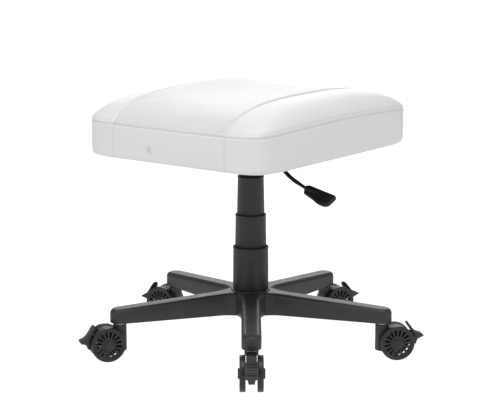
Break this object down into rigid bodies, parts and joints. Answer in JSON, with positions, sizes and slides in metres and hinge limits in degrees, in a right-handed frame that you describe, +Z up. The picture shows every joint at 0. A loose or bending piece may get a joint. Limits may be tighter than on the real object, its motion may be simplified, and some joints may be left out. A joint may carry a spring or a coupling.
{
  "type": "pedicure stool",
  "caption": "Low height-adjustable stool with a square padded white seat on a gas lift, telescoping black covers and a star base with braked twin-wheel casters.",
  "frame": {"origin": "on the floor, at the centre of the whole stool's footprint at rest; the column's axis stands 15.8 mm behind it along +Y", "axes": "+Z up along the column; -Y along the base arm that points to the front; the seat is turned 37 degrees clockwise seen from above"},
  "size_m": [0.5941, 0.5843, 0.4561],
  "materials": {
    "white_leather": "smooth white synthetic leather with a fine grain, satin",
    "foam": "open-cell cushion foam",
    "plywood": "plain unfinished plywood",
    "black_cloth": "thin non-woven lining",
    "black_steel": "black powder coat, satin",
    "zinc_steel": "zinc plated",
    "chromed_steel": "hard chrome, polished",
    "black_nylon": "glass-filled nylon with a fine moulded texture",
    "cover_plastic": "moulded sleeve, satin dark grey",
    "wheel_nylon": "moulded nylon wheel, polished tread",
    "paddle_plastic": "moulded grip, satin black",
    "black_rubber": "plain rubber",
    "bush_plastic": "natural acetal bush"
  },
  "bodies": {
    "base": {"star_base": "black_nylon", "stand_tube": "black_steel", "guide_bush": "bush_plastic", "thrust_bearing": "zinc_steel", "cover_lower": "cover_plastic", "caster_1_stem": "zinc_steel", "caster_2_stem": "zinc_steel", "caster_3_stem": "zinc_steel", "caster_4_stem": "zinc_steel", "caster_5_stem": "zinc_steel"},
    "lift_rod": {"piston_rod": "chromed_steel", "retaining_clip": "zinc_steel", "rubber_bumper": "black_rubber"},
    "middle_cover": {"cover_middle": "cover_plastic"},
    "seat": {"seat_cover": "white_leather", "seat_foam": "foam", "seat_board": "plywood", "dust_cover": "black_cloth", "seat_plate": "black_steel", "lever_bracket": "black_steel", "socket_tube": "black_steel", "lever_pivot_pin": "zinc_steel", "gas_cylinder": "chromed_steel", "cover_upper": "cover_plastic", "t_nut_1": "zinc_steel", "t_nut_2": "zinc_steel", "t_nut_3": "zinc_steel", "t_nut_4": "zinc_steel", "seat_bolt_1": "zinc_steel", "seat_bolt_2": "zinc_steel", "seat_bolt_3": "zinc_steel", "seat_bolt_4": "zinc_steel"},
    "lever": {"lever_rod": "black_steel", "lever_paddle": "paddle_plastic"},
    "button": {"release_button": "zinc_steel"},
    "caster_1": {"caster_1_housing": "black_nylon", "caster_1_axle": "zinc_steel"},
    "caster_1_wheel_a": {"caster_1_wheel_a": "wheel_nylon"},
    "caster_1_wheel_b": {"caster_1_wheel_b": "wheel_nylon"},
    "caster_1_brake": {"caster_1_brake": "black_nylon"},
    "caster_2": {"caster_2_housing": "black_nylon", "caster_2_axle": "zinc_steel"},
    "caster_2_wheel_a": {"caster_2_wheel_a": "wheel_nylon"},
    "caster_2_wheel_b": {"caster_2_wheel_b": "wheel_nylon"},
    "caster_2_brake": {"caster_2_brake": "black_nylon"},
    "caster_3": {"caster_3_housing": "black_nylon", "caster_3_axle": "zinc_steel"},
    "caster_3_wheel_a": {"caster_3_wheel_a": "wheel_nylon"},
    "caster_3_wheel_b": {"caster_3_wheel_b": "wheel_nylon"},
    "caster_3_brake": {"caster_3_brake": "black_nylon"},
    "caster_4": {"caster_4_housing": "black_nylon", "caster_4_axle": "zinc_steel"},
    "caster_4_wheel_a": {"caster_4_wheel_a": "wheel_nylon"},
    "caster_4_wheel_b": {"caster_4_wheel_b": "wheel_nylon"},
    "caster_4_brake": {"caster_4_brake": "black_nylon"},
    "caster_5": {"caster_5_housing": "black_nylon", "caster_5_axle": "zinc_steel"},
    "caster_5_wheel_a": {"caster_5_wheel_a": "wheel_nylon"},
    "caster_5_wheel_b": {"caster_5_wheel_b": "wheel_nylon"},
    "caster_5_brake": {"caster_5_brake": "black_nylon"}
  },
  "joints": [
    {"name": "seat_swivel", "type": "hinge", "parent": "base", "child": "lift_rod", "pos_m": [0, 0.01577, 0.06], "axis": [0, 0, 1], "continuous": true},
    {"name": "seat_height", "type": "slide", "parent": "lift_rod", "child": "seat", "axis": [0, 0, 1], "range_m": [-0.09, 0]},
    {"name": "cover_slide", "type": "slide", "parent": "base", "child": "middle_cover", "axis": [0, 0, 1], "range_m": [-0.045, 0]},
    {"name": "lever_pull", "type": "hinge", "parent": "seat", "child": "lever", "pos_m": [0.01997, 0.00072, 0.3323], "axis": [-0.6018, -0.7986, 0], "range_deg": [0, 8], "stiffness_Nm_per_rad": 0.6, "springref_deg": -11.46},
    {"name": "button_press", "type": "slide", "parent": "seat", "child": "button", "axis": [0, 0, -1], "range_m": [0, 0.0045]},
    {"name": "caster_1_swivel", "type": "hinge", "parent": "base", "child": "caster_1", "pos_m": [0, -0.22123, 0.05], "axis": [0, 0, 1], "continuous": true},
    {"name": "caster_1_roll_a", "type": "hinge", "parent": "caster_1", "child": "caster_1_wheel_a", "pos_m": [0, -0.24523, 0.03], "axis": [1, 0, 0], "continuous": true},
    {"name": "caster_1_roll_b", "type": "hinge", "parent": "caster_1", "child": "caster_1_wheel_b", "pos_m": [0, -0.24523, 0.03], "axis": [1, 0, 0], "continuous": true},
    {"name": "caster_1_lock", "type": "hinge", "parent": "caster_1", "child": "caster_1_brake", "pos_m": [0, -0.26123, 0.043], "axis": [1, 0, 0], "range_deg": [-9, 0]},
    {"name": "caster_2_swivel", "type": "hinge", "parent": "base", "child": "caster_2", "pos_m": [0.2254, -0.05747, 0.05], "axis": [0, 0, 1], "continuous": true},
    {"name": "caster_2_roll_a", "type": "hinge", "parent": "caster_2", "child": "caster_2_wheel_a", "pos_m": [0.24904, -0.0533, 0.03], "axis": [-0.1736, 0.9848, 0], "continuous": true},
    {"name": "caster_2_roll_b", "type": "hinge", "parent": "caster_2", "child": "caster_2_wheel_b", "pos_m": [0.24904, -0.0533, 0.03], "axis": [-0.1736, 0.9848, 0], "continuous": true},
    {"name": "caster_2_lock", "type": "hinge", "parent": "caster_2", "child": "caster_2_brake", "pos_m": [0.26479, -0.05052, 0.043], "axis": [-0.1736, 0.9848, 0], "range_deg": [0, 9]},
    {"name": "caster_3_swivel", "type": "hinge", "parent": "base", "child": "caster_3", "pos_m": [0.13931, 0.20751, 0.05], "axis": [0, 0, 1], "continuous": true},
    {"name": "caster_3_roll_a", "type": "hinge", "parent": "caster_3", "child": "caster_3_wheel_a", "pos_m": [0.15966, 0.22022, 0.03], "axis": [-0.5299, 0.848, 0], "continuous": true},
    {"name": "caster_3_roll_b", "type": "hinge", "parent": "caster_3", "child": "caster_3_wheel_b", "pos_m": [0.15966, 0.22022, 0.03], "axis": [-0.5299, 0.848, 0], "continuous": true},
    {"name": "caster_3_lock", "type": "hinge", "parent": "caster_3", "child": "caster_3_brake", "pos_m": [0.17323, 0.2287, 0.043], "axis": [-0.5299, 0.848, 0], "range_deg": [0, 9]},
    {"name": "caster_4_swivel", "type": "hinge", "parent": "base", "child": "caster_4", "pos_m": [-0.13931, 0.20751, 0.05], "axis": [0, 0, 1], "continuous": true},
    {"name": "caster_4_roll_a", "type": "hinge", "parent": "caster_4", "child": "caster_4_wheel_a", "pos_m": [-0.15966, 0.22022, 0.03], "axis": [-0.5299, -0.848, 0], "continuous": true},
    {"name": "caster_4_roll_b", "type": "hinge", "parent": "caster_4", "child": "caster_4_wheel_b", "pos_m": [-0.15966, 0.22022, 0.03], "axis": [-0.5299, -0.848, 0], "continuous": true},
    {"name": "caster_4_lock", "type": "hinge", "parent": "caster_4", "child": "caster_4_brake", "pos_m": [-0.17323, 0.2287, 0.043], "axis": [-0.5299, -0.848, 0], "range_deg": [-9, 0]},
    {"name": "caster_5_swivel", "type": "hinge", "parent": "base", "child": "caster_5", "pos_m": [-0.2254, -0.05747, 0.05], "axis": [0, 0, 1], "continuous": true},
    {"name": "caster_5_roll_a", "type": "hinge", "parent": "caster_5", "child": "caster_5_wheel_a", "pos_m": [-0.24823, -0.06488, 0.03], "axis": [0.309, -0.9511, 0], "continuous": true},
    {"name": "caster_5_roll_b", "type": "hinge", "parent": "caster_5", "child": "caster_5_wheel_b", "pos_m": [-0.24823, -0.06488, 0.03], "axis": [0.309, -0.9511, 0], "continuous": true},
    {"name": "caster_5_lock", "type": "hinge", "parent": "caster_5", "child": "caster_5_brake", "pos_m": [-0.26344, -0.06983, 0.043], "axis": [0.309, -0.9511, 0], "range_deg": [-9, 0]}
  ],
  "couplings": [
    {"joint": "cover_slide", "follows": "seat_height", "ratio": 0.5},
    {"joint": "button_press", "follows": "lever_pull", "m_per_rad": 0.029}
  ]
}
